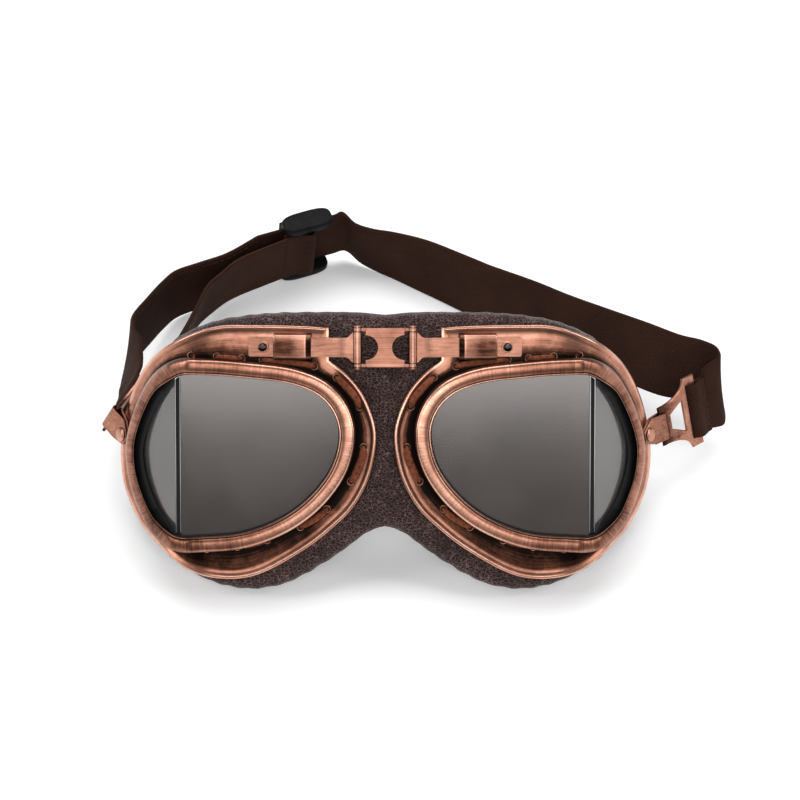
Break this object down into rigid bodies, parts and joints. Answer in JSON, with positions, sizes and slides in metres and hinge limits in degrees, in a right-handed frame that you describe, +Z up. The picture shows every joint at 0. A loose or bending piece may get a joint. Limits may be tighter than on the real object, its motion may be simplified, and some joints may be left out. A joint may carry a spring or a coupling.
{
  "type": "costume pilot goggles",
  "caption": "Costume pilot goggles: hinged metal eye cups with angled smoke panes, laced to a leather face pad, on an elastic strap with metal loops and a slider.",
  "frame": {"origin": "centre of the footprint, at the table", "axes": "+X across the goggles to the right as seen from the front, +Y back towards the strap, +Z up"},
  "size_m": [0.2228, 0.175, 0.0814],
  "materials": {
    "copper": "brushed antique copper",
    "gasket": "matt black rubber",
    "panes": "polished smoke tint",
    "leather": "pebbled dark brown",
    "foam": "open foam",
    "lace": "brown lace",
    "elastic": "woven brown elastic",
    "slider": "black plastic",
    "stud": "dark polished steel"
  },
  "bodies": {
    "bridge": {"bridge_link": "copper", "left_hinge_pin": "copper", "right_hinge_pin": "copper", "nose_pad": "leather", "strap_right": "elastic", "strap_back": "elastic", "strap_left_outer": "elastic", "strap_left_inner": "elastic"},
    "right_tongue": {"right_tongue": "copper", "right_stop_stud": "stud"},
    "right_eye": {"right_frame": "copper", "right_bezel": "copper", "right_lens_gasket": "gasket", "right_front_lens": "panes", "right_side_lens": "panes", "right_lens_divider": "gasket", "right_lacing": "lace", "right_pad_cover": "leather", "right_pad_foam": "foam", "right_keeper": "copper", "right_tab_rivet": "copper"},
    "right_tab": {"right_strap_tab": "copper"},
    "right_ring": {"right_strap_ring": "copper", "strap_right_loop": "elastic"},
    "left_tongue": {"left_tongue": "copper", "left_stop_stud": "stud"},
    "left_eye": {"left_frame": "copper", "left_bezel": "copper", "left_lens_gasket": "gasket", "left_front_lens": "panes", "left_side_lens": "panes", "left_lens_divider": "gasket", "left_lacing": "lace", "left_pad_cover": "leather", "left_pad_foam": "foam", "left_keeper": "copper", "left_tab_rivet": "copper"},
    "left_tab": {"left_strap_tab": "copper"},
    "left_ring": {"left_strap_ring": "copper", "strap_left_loop": "elastic"},
    "slider": {"strap_slider": "slider", "strap_sewn_end": "elastic"}
  },
  "joints": [
    {"name": "right_bridge_hinge", "type": "hinge", "parent": "bridge", "child": "right_tongue", "pos_m": [-0.00182, -0.03971, 0.07486], "axis": [0, 0.6428, 0.766], "range_deg": [-10, 15], "stiffness_Nm_per_rad": 0.4, "deforming": ["nose_pad"]},
    {"name": "left_bridge_hinge", "type": "hinge", "parent": "bridge", "child": "left_tongue", "pos_m": [-0.02062, -0.03971, 0.07486], "axis": [0, -0.6428, -0.766], "range_deg": [-10, 15], "stiffness_Nm_per_rad": 0.4},
    {"name": "right_eye_slide", "type": "slide", "parent": "right_tongue", "child": "right_eye", "axis": [0.9945, 0.0801, -0.0672], "range_m": [-0.002, 0.0016]},
    {"name": "left_eye_slide", "type": "slide", "parent": "left_tongue", "child": "left_eye", "axis": [-0.9945, 0.0801, -0.0672], "range_m": [-0.002, 0.0016]},
    {"name": "right_tab_swivel", "type": "hinge", "parent": "right_eye", "child": "right_tab", "pos_m": [0.08018, -0.03478, 0.02777], "axis": [0.788, -0.4716, 0.3957], "range_deg": [-50, 33]},
    {"name": "left_tab_swivel", "type": "hinge", "parent": "left_eye", "child": "left_tab", "pos_m": [-0.10262, -0.03478, 0.02777], "axis": [0.788, 0.4716, -0.3957], "range_deg": [-80, 3]},
    {"name": "right_ring_swing", "type": "hinge", "parent": "right_tab", "child": "right_ring", "pos_m": [0.08644, -0.02976, 0.02671], "axis": [-0.1902, 0.4248, 0.8851], "range_deg": [-58, 67], "deforming": ["strap_right"]},
    {"name": "left_ring_swing", "type": "hinge", "parent": "left_tab", "child": "left_ring", "pos_m": [-0.10753, -0.02891, 0.03042], "axis": [-0.4575, 0.0185, -0.889], "range_deg": [-122, 3], "deforming": ["strap_left_outer"]},
    {"name": "slider_slide", "type": "slide", "parent": "bridge", "child": "slider", "axis": [-0.9227, -0.3854, 0], "range_m": [-0.003, 0.008], "deforming": ["strap_left_inner"]}
  ]
}
